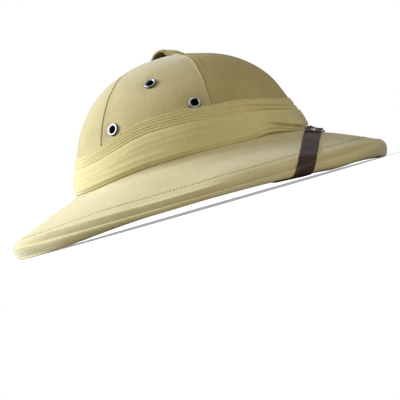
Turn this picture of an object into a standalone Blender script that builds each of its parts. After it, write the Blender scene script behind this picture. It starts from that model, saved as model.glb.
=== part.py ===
"""Pith helmet: a hollow pith body covered in cotton drill, with a wrapped band and a chin strap.

Frame: +X is the front of the hat, +Y its left side, +Z up. The hat rests on the front and rear
arcs of its rim at Z = 0, and the origin is under the middle of its length. Driving dimensions are
in millimetres and become metres when a mesh is made.
"""
import math
from collections import namedtuple

import bpy
import numpy as np
from mathutils import Matrix, Vector
from mathutils.bvhtree import BVHTree

MM = 0.001

# Cloth and pith
CLOTH = 1.2              # cotton drill, pasted on the pith
FIT = 0.3                # clearance kept between pieces that touch
PITH_WALL = 9.0          # crown wall of the pith body
GORE_FACETS = 6          # facets across each gore
FRONT_RISE = (20.5, 80.5)   # degrees from the front tip over which heights ease to the side's
REAR_RISE = (36.0, 87.5)    # the same from the rear tip

# Outside of the cloth, one row for each section from the crest of the crown, down over the band,
# out along the brim, round its thick edge and back underneath to the head opening. Reach along X
# to front and rear, reach along Y to each side, the heights there, and the angles at which the
# side gore's two seams cross the section.
Section = namedtuple(
    "Section", "name front_x front_z rear_x rear_z side_y side_z front_seam rear_seam"
)
SECTIONS = (
    Section("crest", 7.0, 144.4, -1.5, 144.4, 3.4, 144.4, 33.0, 153.0),
    Section("crown_2", 24.0, 142.7, -20.5, 142.7, 17.4, 142.7, 38.5, 144.0),
    Section("crown_3", 38.0, 139.0, -36.0, 139.0, 29.5, 139.0, 45.5, 139.0),
    Section("crown_4", 54.0, 134.0, -50.0, 134.0, 40.5, 134.0, 51.5, 134.5),
    Section("crown_5", 67.0, 127.6, -61.0, 127.6, 50.0, 127.6, 55.5, 132.0),
    Section("crown_6", 79.0, 119.0, -72.0, 119.0, 60.0, 119.0, 58.5, 130.5),
    Section("crown_7", 89.5, 109.0, -81.0, 109.0, 69.8, 109.0, 60.0, 129.5),
    Section("crown_8", 98.0, 97.0, -89.5, 97.0, 78.0, 98.0, 60.0, 128.8),
    Section("band_top", 106.8, 75.5, -98.8, 76.0, 83.9, 86.0, 60.0, 128.2),
    Section("band_middle", 111.3, 60.0, -103.2, 60.0, 89.8, 67.0, 60.0, 128.2),
    Section("crown_foot", 115.3, 44.0, -107.3, 42.5, 93.5, 48.4, 60.0, 128.2),
    Section("brim_slope", 138.0, 33.6, -131.0, 33.6, 112.5, 35.6, 60.0, 128.2),
    Section("shoulder", 171.5, 18.5, -169.0, 19.3, 138.8, 18.6, 60.0, 128.2),
    Section("edge_round", 177.8, 15.4, -176.2, 16.0, 143.6, 15.0, 60.0, 128.2),
    Section("edge_tip", 180.9, 11.8, -180.6, 10.8, 146.5, 11.4, 60.0, 128.2),
    Section("edge_foot", 178.7, 1.4, -178.9, 1.4, 143.2, 7.0, 60.0, 128.2),
    Section("rest_outer", 177.2, 0.0, -177.4, 0.0, 141.8, 5.8, 60.0, 128.2),
    Section("rest_inner", 173.2, 0.0, -173.4, 0.0, 138.0, 5.8, 60.0, 128.2),
    Section("underside", 150.0, 11.6, -146.0, 12.2, 116.0, 18.6, 60.0, 128.2),
    Section("head_opening", 106.0, 32.2, -98.0, 31.5, 83.8, 36.0, 60.0, 128.2),
)
ROW = {section.name: number for number, section in enumerate(SECTIONS)}
LINING_ROWS = ("band_middle", "crown_8", "crown_6", "crown_4", "crown_2", "crest")
GORES = ("front_left", "side_left", "rear_left", "rear_right", "side_right", "front_right")

# Wrapped band: rows down from its upper edge, then rows up from its lower edge
Fold = namedtuple("Fold", "name drop proud")
FOLDS = (
    Fold("upper_edge", 0.0, 1.4),
    Fold("fold_1_face", 2.9, 1.3),
    Fold("fold_2_edge", 3.6, 2.0),
    Fold("fold_2_face", 8.0, 1.7),
    Fold("fold_3_edge", 8.8, 2.4),
    Fold("fold_3_face", 13.4, 2.1),
    Fold("wrap_edge", 14.3, 2.9),
    Fold("wrap_belly", 21.0, 2.9),
)
Hem = namedtuple("Hem", "name rise proud")
HEMS = (Hem("gather", 7.0, 2.7), Hem("lower_roll", 2.2, 2.6), Hem("lower_edge", 0.3, 1.6))
GATHER_ARC = 50.0        # degrees from the front over which the band is pinched
GATHER_RISE = (1.0, 13.0)   # the pinch over the band's lower edge, at the front and where it ends
GATHER_WIDTH = 4.0
GATHER_DEPTH = 1.0

# Loop on the crest: height of its top and its underside above the crown at each place along X
Arch = namedtuple("Arch", "x top under")
TOP_LOOP = (
    Arch(-7.0, 1.0, 0.4),
    Arch(-4.5, 4.2, 0.4),
    Arch(-2.0, 6.1, 2.0),
    Arch(2.0, 7.0, 3.8),
    Arch(6.0, 7.1, 3.8),
    Arch(9.0, 6.8, 2.4),
    Arch(11.0, 6.5, 0.4),
    Arch(16.0, 5.5, 0.4),
    Arch(20.5, 4.0, 0.4),
    Arch(23.5, 2.2, 0.4),
    Arch(25.5, 0.9, 0.4),
)
LOOP_WIDTH = 22.0
LOOP_ACROSS = ((-1.0, 0.72), (-0.7, 0.94), (0.0, 1.0), (0.7, 0.94), (1.0, 0.72))

# Vent eyelets on each side: place along X and height
Vent = namedtuple("Vent", "name x z")
VENTS = (Vent("rear", -42.5, 89.5), Vent("top", -1.2, 120.0), Vent("front", 36.0, 91.5))
EYELET_SIDES = 12
EYELET_BORE = 2.8
EYELET_BARREL = 3.4
EYELET_FLANGE = 5.8
EYELET_DEPTH = 10.6
EYELET_PROUD = 1.3
EYELET_ROLL = 0.6        # how the flange rolls over into the bore
EYELET_LIP = 1.0         # width of the flange's sloping lip
SEAT_SPREAD = 5.0        # half the patch of crown that an eyelet squares itself to
VENT_DRILL = (-20.0, 8.0)   # from inside the shell to outside it

# Chin strap and its buckle
STRAP_WIDTH = 15.0
LEATHER = 1.0
STRAP_GAP = 0.4          # strap to cloth
EDGE_SLACK = 0.9         # how much more it stands off the rim and the underside
SLACK_LEAN = (0.95, 0.55)   # upward share of the cloth's normal over which that slack grows
STRAP_X = 124.5          # centre of the strap where it crosses the front of the brim
STRAP_SKEW = 4.0         # degrees by which its right half leads forward, as it is worn
STRAP_REACH = 222.0      # from the middle of the front to each end, along the strap
STRAP_ACROSS = (-1.0, -0.35, 0.35, 1.0)
STRAP_TIP = ((0.0, 0.55), (2.0, 0.8), (4.5, 1.0))   # distance from the end, share of the width
TRACE_STEP = 0.25
SECTION_PROBE = 1.0      # stretch of strap between two places tried for a section
SECTION_STEP = 12.0      # longest stretch of strap between two of its sections
SECTION_TURN = 24.0      # degrees of bend between two of its sections
BUCKLE_REACH = 9.5       # middle of the hat to each cross bar
BUCKLE_WIDTH = 20.0
BUCKLE_WIRE = 1.4
BUCKLE_CORNER = 1.6
Turn = namedtuple("Turn", "reach rise")
FOLD_BACK = (            # the folded end: 0 lies on the strap, 1 is level with the bar's top
    Turn(27.0, 0.0),
    Turn(21.0, 0.0),
    Turn(15.5, 0.0),
    Turn(12.5, 0.74),
    Turn(BUCKLE_REACH, 1.0),
)
STRAP_RIVET_AT = 19.5
ANCHOR_RIVET_AT = STRAP_REACH - 8.0
RIVET_SIDES = 10
RIVET_SHANK = 1.5
RIVET_HEAD = 3.3
RIVET_DOME = ((1.0, 0.0), (0.8, 0.9), (0.3, 1.3))   # share of the head's radius, height
ANCHOR_HEAD = 4.0
ANCHOR_DEPTH = 7.0       # how far the hidden rivets reach into the brim
DRILL_PAST = 3.0


# ---------------------------------------------------------------- meshes

def grid_faces(first, rows, columns, wrap, back_from=None):
    """Triangles over a grid of vertices, all cut along the same diagonal.

    Rows from back_from on run the other way, back under the rows before them, and are cut along
    the other diagonal, so that the facets of both layers stay parallel.
    """
    faces = []
    for row in range(rows - 1):
        for column in range(columns if wrap else columns - 1):
            a = first + row * columns + column
            b = first + row * columns + (column + 1) % columns
            c, d = b + columns, a + columns
            if back_from is not None and row >= back_from:
                faces += [(a, b, d), (b, c, d)]
            else:
                faces += [(a, b, c), (a, c, d)]
    return faces


def ring_body(rings, joined, back_from=None):
    """A body of stacked closed rings, joined last to first or capped at both ends."""
    rings = [np.asarray(ring, dtype=float) for ring in rings]
    count = len(rings[0])
    if joined:
        stack = np.concatenate(rings + rings[:1])
        faces = grid_faces(0, len(rings) + 1, count, True, back_from)
        total = len(rings) * count
        return stack[:total], [tuple(v % total for v in face) for face in faces]
    points = np.concatenate(rings + [[rings[0].mean(axis=0)], [rings[-1].mean(axis=0)]])
    faces = grid_faces(0, len(rings), count, True)
    first_hub = len(rings) * count
    last_start = first_hub - count
    for place in range(count):
        after = (place + 1) % count
        faces.append((first_hub, after, place))
        faces.append((first_hub + 1, last_start + place, last_start + after))
    return points, faces


def sheet_body(front, back):
    """A body between two matching open grids of points, closed round its border."""
    rows, columns, _ = front.shape
    size = rows * columns
    points = np.concatenate([front.reshape(-1, 3), back.reshape(-1, 3)])
    faces = grid_faces(0, rows, columns, False)
    faces += [tuple(reversed(face)) for face in grid_faces(size, rows, columns, False)]
    border = list(range(columns))
    border += [row * columns + columns - 1 for row in range(1, rows)]
    border += [(rows - 1) * columns + column for column in range(columns - 2, -1, -1)]
    border += [row * columns for row in range(rows - 2, 0, -1)]
    for here, there in zip(border, border[1:] + border[:1]):
        faces += [(here, there + size, there), (here, here + size, there + size)]
    return points, faces


def turned_body(profile, sides, joined):
    """A body turned about Z from (radius, height) points."""
    angles = [2.0 * math.pi * side / sides for side in range(sides)]
    rings = [[(r * math.cos(a), r * math.sin(a), z) for a in angles] for r, z in profile]
    return ring_body(rings, joined)


def add_object(name, body, material, place=None):
    """One named object whose faces point outwards."""
    points, faces = body
    mesh = bpy.data.meshes.new(name)
    mesh.from_pydata([tuple(point * MM) for point in np.asarray(points)], [], faces)
    piece = bpy.data.objects.new(name, mesh)
    bpy.context.scene.collection.objects.link(piece)
    if signed_volume(mesh) < 0.0:
        mesh.flip_normals()
    if place is not None:
        piece.matrix_world = place
    if material is not None:
        mesh.materials.append(material)
        mesh.shade_smooth()
        mesh.set_sharp_from_angle(angle=math.radians(35.0))
    return piece


def signed_volume(mesh):
    mesh.calc_loop_triangles()
    corners = [[mesh.vertices[v].co for v in triangle.vertices] for triangle in mesh.loop_triangles]
    return sum(a.dot(b.cross(c)) for a, b, c in corners) / 6.0


def cut(piece, cutter):
    """Cut a hidden tool out of a piece."""
    modifier = piece.modifiers.new("cut_" + cutter.name, "BOOLEAN")
    modifier.operation = "DIFFERENCE"
    modifier.solver = "EXACT"
    modifier.object = cutter


def drill(name, radius, start, end, sides, place):
    """A round tool along a place's own Z, kept out of the model."""
    body = turned_body(((radius, start), (radius, end)), sides, False)
    tool = add_object(name, body, None, place)
    tool.hide_render = True
    tool.display_type = "WIRE"
    return tool


def make_material(name, colour, roughness, metallic=0.0):
    material = bpy.data.materials.new(name)
    material.use_nodes = True
    shader = material.node_tree.nodes["Principled BSDF"]
    shader.inputs["Base Color"].default_value = (*colour, 1.0)
    shader.inputs["Roughness"].default_value = roughness
    shader.inputs["Metallic"].default_value = metallic
    return material


def placed(origin, x_axis, z_axis):
    """A world matrix in metres from a place in millimetres and two of its axes."""
    z_axis = Vector(z_axis).normalized()
    x_axis = Vector(x_axis)
    x_axis = (x_axis - z_axis * x_axis.dot(z_axis)).normalized()
    turn = Matrix((x_axis, z_axis.cross(x_axis), z_axis)).transposed().to_4x4()
    return Matrix.Translation(Vector(origin) * MM) @ turn


# ---------------------------------------------------------------- hat surface

def smooth_step(value):
    value = min(max(value, 0.0), 1.0)
    return value * value * (3.0 - 2.0 * value)


def station_angles(section):
    """Degrees round a section, from the front over the left side, with every seam on a station."""
    seams = (0.0, section.front_seam, section.rear_seam, 180.0)
    left = []
    for start, end in zip(seams, seams[1:]):
        left += [start + (end - start) * facet / GORE_FACETS for facet in range(GORE_FACETS)]
    return left + [180.0] + [360.0 - angle for angle in reversed(left[1:])]


def section_ring(section):
    """The closed outline of one section: an oval whose height eases from tip to side."""
    centre = (section.front_x + section.rear_x) / 2.0
    reach = (section.front_x - section.rear_x) / 2.0
    ring = []
    for angle in station_angles(section):
        along = math.cos(math.radians(angle))
        across = math.sin(math.radians(angle))
        from_tip = math.degrees(math.acos(min(abs(along), 1.0)))
        tip_z, (start, end) = (
            (section.front_z, FRONT_RISE) if along > 0.0 else (section.rear_z, REAR_RISE)
        )
        raised = smooth_step((from_tip - start) / (end - start))
        height = tip_z + (section.side_z - tip_z) * raised
        ring.append((centre + reach * along, section.side_y * across, height))
    return ring


def offset_rings(rings, distance):
    """The rings moved off their surface so that every facet stays parallel to where it was."""
    after = np.roll(rings, -1, axis=1)
    normals = np.cross(rings[1:] - after[:-1], after[1:] - rings[:-1])
    normals /= np.linalg.norm(normals, axis=2, keepdims=True)
    above = np.concatenate([normals[:1], normals])
    below = np.concatenate([normals, normals[-1:]])
    touching = [above, below, np.roll(above, 1, axis=1), np.roll(below, 1, axis=1)]
    middle = sum(touching)
    middle /= np.linalg.norm(middle, axis=2, keepdims=True)
    leaning = sum((middle * normal).sum(axis=2, keepdims=True) for normal in touching) / 4.0
    return rings + middle * distance / leaning


def slide(points, towards, distance):
    """Points moved a distance along their edges to the next points."""
    edge = towards - points
    return points + edge * distance / np.linalg.norm(edge, axis=-1, keepdims=True)


def surface_tree(rings):
    points, faces = ring_body(list(rings), False)
    return BVHTree.FromPolygons([Vector(point) for point in points], faces)


# ---------------------------------------------------------------- pith and cloth

def make_pith_shell(surface, material):
    outside = offset_rings(surface, -(CLOTH + FIT))
    inside = offset_rings(surface, -(CLOTH + FIT + PITH_WALL))
    rings = list(outside) + [inside[ROW[name]] for name in LINING_ROWS]
    return add_object("pith_shell", ring_body(rings, False), material)


def make_gores(surface, material):
    """Six cloth panels from the crest to the foot of the crown, apart by a seam's gap."""
    inner = offset_rings(surface, -CLOTH)
    foot = ROW["crown_foot"]
    gores = {}
    for number, name in enumerate(GORES):
        stations = [(number * GORE_FACETS + facet) % (6 * GORE_FACETS)
                    for facet in range(GORE_FACETS + 1)]
        faces = []
        for layer in (surface, inner):
            panel = layer[:foot + 1][:, stations].copy()
            panel[foot] = slide(panel[foot], panel[foot - 1], FIT)
            left = slide(panel[:, 0], panel[:, 1], FIT / 2.0)
            panel[:, -1] = slide(panel[:, -1], panel[:, -2], FIT / 2.0)
            panel[:, 0] = left
            faces.append(panel)
        gores[name] = add_object("crown_gore_" + name, sheet_body(*faces), material)
    return gores


def make_brim_cover(surface, material):
    """Cloth over the brim, round its edge and back under it to the head opening."""
    foot = ROW["crown_foot"]
    outer = surface[foot:].copy()
    inner = offset_rings(surface, -CLOTH)[foot:]
    outer[0] = slide(outer[0], outer[1], FIT)
    inner[0] = slide(inner[0], inner[1], FIT)
    rings = list(outer) + list(reversed(inner))
    return add_object("brim_cover", ring_body(rings, True, len(outer)), material)


def band_point(surface, raised, station, depth, proud):
    """A point on the crown a depth below the band's upper edge, standing proud of the cloth."""
    rows = [ROW["band_top"], ROW["band_middle"], ROW["crown_foot"]]
    for upper, lower in zip(rows, rows[1:]):
        start, end = surface[upper, station], surface[lower, station]
        length = np.linalg.norm(end - start)
        if depth <= length or lower == rows[-1]:
            share = min(depth / length, 1.0)
            flat = start + (end - start) * share
            lift = raised[upper, station] + (raised[lower, station] - raised[upper, station]) * share
            return flat + (lift - flat) * proud
        depth -= length


def band_depth(surface, station):
    rows = [ROW["band_top"], ROW["band_middle"], ROW["crown_foot"]]
    return sum(np.linalg.norm(surface[lower, station] - surface[upper, station])
               for upper, lower in zip(rows, rows[1:]))


def make_pugree(surface, material):
    """The wrapped band: folds along its top, a wide wrap below and gathers at the front."""
    raised = offset_rings(surface, 1.0)
    stations = range(surface.shape[1])
    angles = station_angles(SECTIONS[ROW["crown_foot"]])
    rings = []
    for fold in FOLDS:
        rings.append([band_point(surface, raised, s, fold.drop, fold.proud) for s in stations])
    for hem in HEMS:
        ring = []
        for station in stations:
            from_front = min(angles[station], 360.0 - angles[station]) / GATHER_ARC
            groove = GATHER_RISE[0] + (GATHER_RISE[1] - GATHER_RISE[0]) * from_front
            pinch = 0.0 if from_front > 1.0 else math.exp(-((hem.rise - groove) / GATHER_WIDTH) ** 2)
            depth = band_depth(surface, station) - hem.rise
            proud = hem.proud - GATHER_DEPTH * pinch
            ring.append(band_point(surface, raised, station, depth, proud))
        rings.append(ring)
    for name in ("crown_foot", "band_middle", "band_top"):
        base, lift = surface[ROW[name]], raised[ROW[name]]
        rings.append(base + (lift - base) * FIT)
    return add_object("pugree", ring_body(rings, True, len(FOLDS) + len(HEMS)), material)


def make_top_loop(tree, material):
    """The cloth loop: an eye under its rear half, its front half lying on the crest."""
    top, under = [], []
    for arch in TOP_LOOP:
        upper, lower = [], []
        for side, fullness in LOOP_ACROSS:
            y = side * LOOP_WIDTH / 2.0
            crown = tree.ray_cast(Vector((arch.x, y, 300.0)), Vector((0.0, 0.0, -1.0)))[0]
            lower.append((arch.x, y, crown.z + arch.under))
            upper.append((arch.x, y, crown.z + arch.under + (arch.top - arch.under) * fullness))
        top.append(upper)
        under.append(lower)
    return add_object("top_loop", sheet_body(np.array(top), np.array(under)), material)


# ---------------------------------------------------------------- vents

def vent_place(tree, vent, side):
    """Where an eyelet sits: square to the crown, its flange just clear of the cloth."""
    inward = Vector((0.0, -side, 0.0))
    start = Vector((vent.x, side * 200.0, vent.z))
    centre = tree.ray_cast(start, inward)[0]
    normal = Vector()
    for right, up in ((0, 0), (1, 0), (-1, 0), (0, 1), (0, -1)):
        nearby = start + Vector((right, 0.0, up)) * SEAT_SPREAD
        normal += tree.ray_cast(nearby, inward)[1]
    normal.normalize()
    if normal.y * side < 0.0:
        normal.negate()
    square = placed(centre, (1.0, 0.0, 0.0), normal)
    rim_heights = []
    for number in range(EYELET_SIDES):
        angle = 2.0 * math.pi * number / EYELET_SIDES
        edge = Vector((math.cos(angle), math.sin(angle), 0.0)) * EYELET_FLANGE * MM
        hit = tree.ray_cast((square @ (edge + Vector((0.0, 0.0, 0.02)))) / MM, -normal)[0]
        rim_heights.append((hit - centre).dot(normal))
    seat = max(rim_heights + [0.0]) + FIT
    return placed(centre + normal * seat, (1.0, 0.0, 0.0), normal)


def make_eyelet(name, place, material):
    profile = (
        (EYELET_BORE, -EYELET_DEPTH),
        (EYELET_BORE, EYELET_PROUD - EYELET_ROLL),
        (EYELET_BORE + EYELET_ROLL, EYELET_PROUD),
        (EYELET_FLANGE - EYELET_LIP, EYELET_PROUD * 0.9),
        (EYELET_FLANGE, 0.0),
        (EYELET_BARREL, 0.0),
        (EYELET_BARREL, -EYELET_DEPTH),
    )
    return add_object(name, turned_body(profile, EYELET_SIDES, True), material, place)


def make_vents(tree, shell, gores, material):
    for side_name, side in (("left", 1.0), ("right", -1.0)):
        for vent in VENTS:
            place = vent_place(tree, vent, side)
            label = side_name + "_" + vent.name
            make_eyelet("vent_eyelet_" + label, place, material)
            tool = drill("vent_drill_" + label, EYELET_BARREL + FIT, *VENT_DRILL,
                         EYELET_SIDES, place)
            cut(shell, tool)
            cut(gores["side_" + side_name], tool)


# ---------------------------------------------------------------- chin strap

Step = namedtuple("Step", "foot up heading")


def walk(tree, start, distance, heading=None):
    """Follow the covered brim straight ahead, as a taut strap lies, and list every step."""
    hover = STRAP_GAP + LEATHER / 2.0
    heading = heading or start.heading
    foot, up = start.foot, start.up
    trail = [Step(foot, up, heading)]
    for _ in range(round(distance / TRACE_STEP)):
        here = foot + up * hover
        guess = here + heading * TRACE_STEP
        foot = tree.find_nearest(guess)[0]
        up = (guess - foot).normalized()
        heading = foot + up * hover - here
        heading = (heading - up * heading.dot(up)).normalized()
        trail.append(Step(foot, up, heading))
    return trail


def strap_section(tree, step, width):
    """Feet and normals across the strap at one step."""
    section = []
    for share in STRAP_ACROSS:
        across = step.up.cross(step.heading) * (1.0 if share > 0.0 else -1.0)
        section.append(walk(tree, step, abs(share) * width / 2.0, across)[-1])
    return section


def bend_between(one, other):
    return max(math.degrees(a.up.angle(b.up)) for a, b in zip(one, other))


def strap_layer(section, height):
    """Points across the strap at a height over the cloth, more where it turns round the rim."""
    flat, steep = SLACK_LEAN
    slack = [EDGE_SLACK * smooth_step((flat - step.up.z) / (flat - steep)) for step in section]
    return [step.foot + step.up * (height + more) for step, more in zip(section, slack)]


def strap_trail(tree, side):
    """The middle line of one half of the strap, from the front of the hat to its hidden end."""
    hit, up, _, _ = tree.ray_cast(Vector((STRAP_X, 0.0, 300.0)), Vector((0.0, 0.0, -1.0)))
    up = up if up.z > 0.0 else -up
    skew = math.radians(STRAP_SKEW)
    heading = Vector((-math.sin(skew), math.cos(skew), 0.0)) * side
    start = Step(hit, up, (heading - up * heading.dot(up)).normalized())
    return walk(tree, start, STRAP_REACH)


def at(trail, distance):
    return trail[round(distance / TRACE_STEP)]


def strap_body(tree, trail, side):
    """The leather: folded back over the buckle's bar, then laid over and under the brim."""
    bar_height = STRAP_GAP + LEATHER + FIT + BUCKLE_WIRE / 2.0
    bend = BUCKLE_WIRE / 2.0 + FIT
    lower, upper = STRAP_GAP, STRAP_GAP + LEATHER
    on_strap = upper + FIT
    over_bar = bar_height + bend
    outside, inside = [], []

    def add(section, low, high):
        outside.append(strap_layer(section, low))
        inside.append(strap_layer(section, high))

    for turn in FOLD_BACK:
        section = strap_section(tree, at(trail, turn.reach), STRAP_WIDTH)
        low = on_strap + (over_bar - on_strap) * turn.rise
        add(section, low + LEATHER, low)
    for degrees in (45.0, 0.0, -45.0):
        turn = math.radians(degrees)
        points = []
        for radius in (bend + LEATHER, bend):
            step = at(trail, BUCKLE_REACH - radius * math.cos(turn))
            section = strap_section(tree, step, STRAP_WIDTH)
            height = bar_height + radius * math.sin(turn)
            points.append(strap_layer(section, height))
        outside.append(points[0])
        inside.append(points[1])
    last = before = strap_section(tree, at(trail, BUCKLE_REACH), STRAP_WIDTH)
    add(last, lower, upper)
    travelled = distance = BUCKLE_REACH
    while distance + SECTION_PROBE < STRAP_REACH - STRAP_TIP[-1][0]:
        distance += SECTION_PROBE
        section = strap_section(tree, at(trail, distance), STRAP_WIDTH)
        bent = bend_between(last, section) >= SECTION_TURN
        if bent or distance - travelled >= SECTION_STEP:
            last = before if bent and before is not last else section
            travelled = distance if last is section else distance - SECTION_PROBE
            add(last, lower, upper)
        before = section
    for to_end, share in reversed(STRAP_TIP):
        section = strap_section(tree, at(trail, STRAP_REACH - to_end), STRAP_WIDTH * share)
        add(section, lower, upper)
    faces = [np.array([[tuple(point) for point in row[::side]] for row in layer])
             for layer in (outside, inside)]
    return sheet_body(*faces)


def strap_frame(step, side):
    return placed(step.foot, step.heading * side, step.up)


def make_rivet(name, place, seat, radius, foot, material):
    """A domed head over its seat, with a shank down to its foot."""
    profile = [(RIVET_SHANK, foot), (RIVET_SHANK, seat)]
    profile += [(radius * share, seat + height) for share, height in RIVET_DOME]
    return add_object(name, turned_body(profile, RIVET_SIDES, False), material, place)


def make_straps(tree, shell, cover, leather, nickel):
    for name, side in (("left", 1), ("right", -1)):
        trail = strap_trail(tree, side)
        strap = add_object("chin_strap_" + name, strap_body(tree, trail, side), leather)
        top = STRAP_GAP + 2.0 * LEATHER + FIT
        place = strap_frame(at(trail, STRAP_RIVET_AT), side)
        make_rivet("strap_rivet_" + name, place, top + FIT, RIVET_HEAD, STRAP_GAP, nickel)
        tool = drill("strap_drill_" + name, RIVET_SHANK + FIT, -FIT, top + DRILL_PAST,
                     RIVET_SIDES, place)
        cut(strap, tool)
        place = strap_frame(at(trail, ANCHOR_RIVET_AT), side)
        under = STRAP_GAP + EDGE_SLACK + LEATHER
        make_rivet("anchor_rivet_" + name, place, under + FIT, ANCHOR_HEAD, -ANCHOR_DEPTH, nickel)
        tool = drill("anchor_drill_" + name, RIVET_SHANK + FIT, -ANCHOR_DEPTH - FIT,
                     under + DRILL_PAST, RIVET_SIDES, place)
        for piece in (strap, cover, shell):
            cut(piece, tool)


def make_buckle(tree, material):
    """A wire loop lying on the front of the brim, one cross bar in each folded strap end."""
    bars = [at(strap_trail(tree, side), BUCKLE_REACH) for side in (1.0, -1.0)]
    up = (bars[0].up + bars[1].up).normalized()
    bar_height = STRAP_GAP + LEATHER + FIT + BUCKLE_WIRE / 2.0
    centre = (bars[0].foot + bars[1].foot) / 2.0 + up * bar_height
    place = placed(centre, (bars[1].foot - bars[0].foot).cross(-up), up)
    half_x = (BUCKLE_WIDTH - BUCKLE_WIRE) / 2.0
    corners = ((half_x, BUCKLE_REACH), (-half_x, BUCKLE_REACH),
               (-half_x, -BUCKLE_REACH), (half_x, -BUCKLE_REACH))
    rings = []
    for number, (x, y) in enumerate(corners):
        for bend in (0.0, 45.0, 90.0):
            angle = math.radians(number * 90.0 + bend)
            out_x, out_y = math.cos(angle), math.sin(angle)
            middle_x = x - math.copysign(BUCKLE_CORNER, x) + BUCKLE_CORNER * out_x
            middle_y = y - math.copysign(BUCKLE_CORNER, y) + BUCKLE_CORNER * out_y
            ring = []
            for facet in range(8):
                round_wire = math.radians(facet * 45.0 + 22.5)
                reach = BUCKLE_WIRE / 2.0 * math.cos(round_wire)
                ring.append((middle_x + reach * out_x, middle_y + reach * out_y,
                             BUCKLE_WIRE / 2.0 * math.sin(round_wire)))
            rings.append(ring)
    return add_object("strap_buckle", ring_body(rings, True), material, place)


# ---------------------------------------------------------------- build

def main():
    for old in list(bpy.data.objects):
        bpy.data.objects.remove(old)
    pith = make_material("pith", (0.55, 0.50, 0.36), 0.9)
    drill_cloth = make_material("cotton_drill", (0.52, 0.45, 0.26), 0.85)
    brim_cloth = make_material("brim_drill", (0.55, 0.48, 0.28), 0.85)
    band_cloth = make_material("band_cloth", (0.50, 0.43, 0.25), 0.85)
    leather = make_material("brown_leather", (0.05, 0.025, 0.02), 0.35)
    nickel = make_material("nickel", (0.75, 0.74, 0.72), 0.25, 1.0)

    surface = np.array([section_ring(section) for section in SECTIONS])
    tree = surface_tree(surface)
    shell = make_pith_shell(surface, pith)
    gores = make_gores(surface, drill_cloth)
    cover = make_brim_cover(surface, brim_cloth)
    make_pugree(surface, band_cloth)
    make_top_loop(tree, drill_cloth)
    make_vents(tree, shell, gores, nickel)
    make_straps(tree, shell, cover, leather, nickel)
    make_buckle(tree, nickel)


main()
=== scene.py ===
import math

import bmesh
import bpy
import numpy as np
from mathutils import Matrix, Vector, noise
from mathutils.bvhtree import BVHTree


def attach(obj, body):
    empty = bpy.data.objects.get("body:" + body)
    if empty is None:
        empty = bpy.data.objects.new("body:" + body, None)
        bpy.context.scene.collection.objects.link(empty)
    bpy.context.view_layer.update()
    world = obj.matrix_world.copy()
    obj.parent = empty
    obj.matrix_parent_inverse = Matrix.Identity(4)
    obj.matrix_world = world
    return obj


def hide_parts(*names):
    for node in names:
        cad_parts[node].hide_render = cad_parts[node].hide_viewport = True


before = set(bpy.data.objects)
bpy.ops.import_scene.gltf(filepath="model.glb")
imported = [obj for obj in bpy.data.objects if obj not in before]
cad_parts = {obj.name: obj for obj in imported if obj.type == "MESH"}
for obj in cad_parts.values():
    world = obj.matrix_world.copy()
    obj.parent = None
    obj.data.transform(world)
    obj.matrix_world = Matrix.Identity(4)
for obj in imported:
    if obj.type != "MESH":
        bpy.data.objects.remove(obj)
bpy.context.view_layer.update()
mm = 0.001

hat = {
    "sections": (  # outside of the cloth in mm: reach and height at the front, rear and side
        ("crest", 7.0, 144.4, -1.5, 144.4, 3.4, 144.4),
        ("crown2", 24.0, 142.7, -20.5, 142.7, 17.4, 142.7),
        ("crown3", 38.0, 139.0, -36.0, 139.0, 29.5, 139.0),
        ("crown4", 54.0, 134.0, -50.0, 134.0, 40.5, 134.0),
        ("crown5", 67.0, 127.6, -61.0, 127.6, 50.0, 127.6),
        ("crown6", 79.0, 119.0, -72.0, 119.0, 60.0, 119.0),
        ("crown7", 89.5, 109.0, -81.0, 109.0, 69.8, 109.0),
        ("crown8", 98.0, 97.0, -89.5, 97.0, 78.0, 98.0),
        ("bandTop", 106.8, 75.5, -98.8, 76.0, 83.9, 86.0),
        ("bandMiddle", 111.3, 60.0, -103.2, 60.0, 89.8, 67.0),
        ("crownFoot", 115.3, 44.0, -107.3, 42.5, 93.5, 48.4),
        ("brimSlope", 138.0, 33.6, -131.0, 33.6, 112.5, 35.6),
        ("shoulder", 171.5, 18.5, -169.0, 19.3, 138.8, 18.6),
        ("edgeRound", 177.8, 15.4, -176.2, 16.0, 143.6, 15.0),
        ("edgeTip", 180.9, 11.8, -180.6, 10.8, 146.5, 11.4),
        ("edgeFoot", 178.7, 1.4, -178.9, 1.4, 143.2, 7.0),
        ("restOuter", 177.2, 0.0, -177.4, 0.0, 141.8, 5.8),
        ("restInner", 173.2, 0.0, -173.4, 0.0, 138.0, 5.8),
        ("underside", 150.0, 11.6, -146.0, 12.2, 116.0, 18.6),
        ("headOpening", 106.0, 32.2, -98.0, 31.5, 83.8, 36.0),
    ),
    # degrees from the front at which the side panel's seams cross those sections, from the crest down
    "frontSeam": (33.0, 38.5, 45.5, 51.5, 55.5, 58.7, 60.6, 62.0, 63.5),
    "rearSeam": (160.0, 148.0, 141.0, 135.0, 131.3, 129.2, 127.8, 127.2, 127.0),
    "sharp": ("crownFoot", "restOuter", "restInner"),
    "edgeSharpens": (112.0, 150.0),  # degrees from the front over which the rim's edge turns sharp
    "frontRise": (20.5, 80.5),  # degrees from the tip over which heights ease to the side's
    "rearRise": (36.0, 87.5),
    "cloth": 1.2, "gap": 0.3, "pithWall": 9.0,  # thicknesses in mm
}
rowOf = {section[0]: number for number, section in enumerate(hat["sections"])}
table = np.array([section[1:] for section in hat["sections"]])


# The hat's form, shared by every piece. A row is a place between two sections, as 10.5 is halfway
# from the crown's foot to the brim's slope, and an angle is in degrees from the front, leftwards.

def smoothStep(value):
    value = np.clip(value, 0.0, 1.0)
    return value * value * (3.0 - 2.0 * value)


def ease(value, start, end):
    return smoothStep((value - start) / (end - start))


def window(value, comes, goes):
    return ease(value, *comes) * (1 - ease(value, *goes))


def bell(distance, width):
    return np.exp(-(distance / width) ** 2)


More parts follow.
